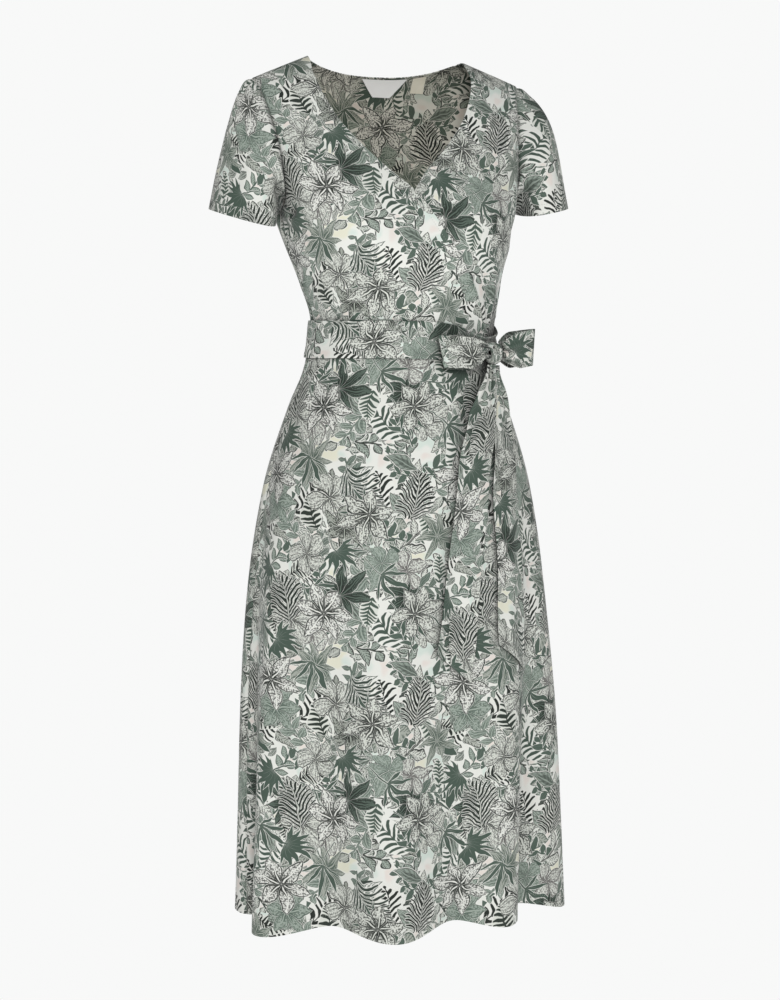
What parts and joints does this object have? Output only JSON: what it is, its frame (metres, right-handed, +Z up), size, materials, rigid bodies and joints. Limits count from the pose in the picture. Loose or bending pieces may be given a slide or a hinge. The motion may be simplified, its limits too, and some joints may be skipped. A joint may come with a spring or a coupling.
{
  "type": "wrap dress",
  "caption": "Short-sleeved V-neck wrap dress with a tied waist belt, bow and hanging tails over a flared midi skirt, hollow as worn.",
  "frame": {"origin": "midway between the two shoulder seams, at the height of the neck points, where the wearer's shoulders carry the dress", "axes": "+Z up, -Y the front of the dress, +X the wearer's left"},
  "size_m": [0.4917, 0.3605, 1.1241],
  "materials": {
    "printed_cloth": "soft matte woven cloth, off-white with an all-over grey-green leaf and flower print",
    "label_cloth": "smooth matte white label tape, blank"
  },
  "bodies": {
    "root": {"bodice_front_right": "printed_cloth", "bodice_front_left": "printed_cloth", "bodice_back": "printed_cloth", "sleeve_right": "printed_cloth", "sleeve_left": "printed_cloth", "skirt_front_right": "printed_cloth", "skirt_front_left": "printed_cloth", "skirt_back": "printed_cloth", "belt_band": "printed_cloth", "bow_knot": "printed_cloth", "bow_loop_front": "printed_cloth", "bow_loop_side": "printed_cloth", "belt_tail_front": "printed_cloth", "belt_tail_side": "printed_cloth", "neck_label": "label_cloth", "neck_tab": "label_cloth"}
  },
  "joints": []
}
